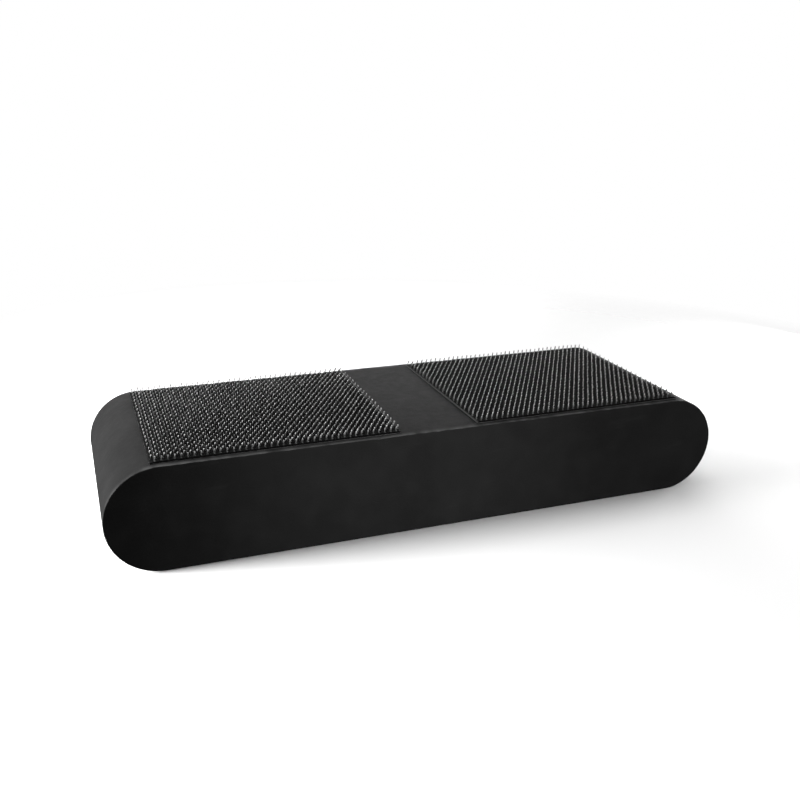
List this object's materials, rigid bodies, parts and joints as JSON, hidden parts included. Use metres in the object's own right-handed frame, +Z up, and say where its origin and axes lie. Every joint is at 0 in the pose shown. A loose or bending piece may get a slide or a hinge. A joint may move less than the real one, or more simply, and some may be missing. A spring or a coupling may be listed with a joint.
{
  "type": "bass drum anchor block",
  "caption": "Solid foam block with full-round ends and pads of stiff hook tape that grip a carpet, so that a bass drum's hoop can't creep forward.",
  "frame": {"origin": "centre of the underside, on the surface that the block rests on", "axes": "+X along the block's length, +Y from the front long face to the back one, +Z up, out of the hooks"},
  "size_m": [0.305, 0.102, 0.0522],
  "materials": {
    "foam": "matte",
    "adhesive": "satin",
    "tape_base": "matte",
    "hooks": "satin",
    "ink": "matte"
  },
  "bodies": {
    "root": {"foam_block": "foam", "adhesive_film_left": "adhesive", "adhesive_film_right": "adhesive", "tape_base_left": "tape_base", "tape_base_right": "tape_base", "hook_rows_left": "hooks", "hook_rows_right": "hooks", "printed_mark": "ink"}
  },
  "joints": []
}
